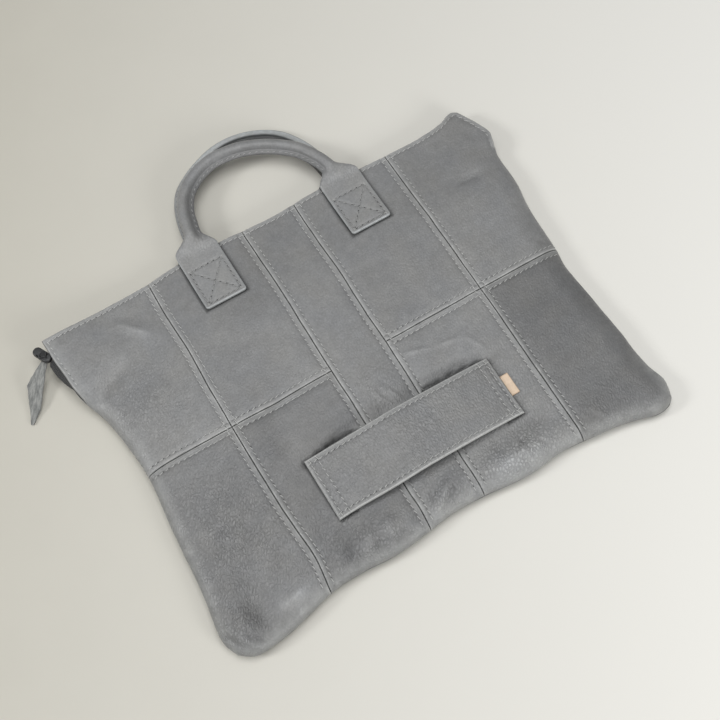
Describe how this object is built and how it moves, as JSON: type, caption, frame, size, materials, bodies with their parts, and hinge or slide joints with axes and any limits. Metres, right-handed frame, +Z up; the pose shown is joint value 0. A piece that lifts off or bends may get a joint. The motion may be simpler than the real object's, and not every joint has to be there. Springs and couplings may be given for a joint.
{
  "type": "laptop pouch",
  "caption": "Soft flat leather pouch for a laptop, patched from sewn panels, with a zipped top, rolled carrying handles, a strap to slip over a trolley handle and a small tab.",
  "frame": {"origin": "On the flat underside of the back, below the point where the middle of the centre strip meets the cross seam.", "axes": "+X across the pouch towards the tan tab's end of the strap, +Y from the bottom seam to the zip and handles, +Z up out of the front as the pouch lies on its back."},
  "size_m": [0.4547, 0.4043, 0.0286],
  "materials": {
    "panel_leather": "soft mid-grey leather with a fine grain and a low sheen",
    "handle_leather": "smooth mid-grey leather, rolled and stitched",
    "strap_leather": "mid-grey leather, folded double and stitched",
    "label_leather": "pale tan, matt, blank",
    "zip_cloth": "dark woven tape",
    "zip_nylon": "dark satin nylon",
    "pull_suede": "light grey suede with ragged cut edges"
  },
  "bodies": {
    "root": {"front_bottom_left_outer": "panel_leather", "front_bottom_left_inner": "panel_leather", "front_bottom_right_inner": "panel_leather", "front_bottom_right_outer": "panel_leather", "front_top_left_outer": "panel_leather", "front_top_left_inner": "panel_leather", "front_top_right_inner": "panel_leather", "front_top_right_outer": "panel_leather", "front_centre_strip": "panel_leather", "back_panel": "panel_leather", "front_handle": "handle_leather", "back_handle": "handle_leather", "trolley_strap": "strap_leather", "label_tab": "label_leather", "zip_tape": "zip_cloth", "zip_coil": "zip_nylon", "zip_slider": "zip_nylon", "zip_pull": "pull_suede"}
  },
  "joints": []
}
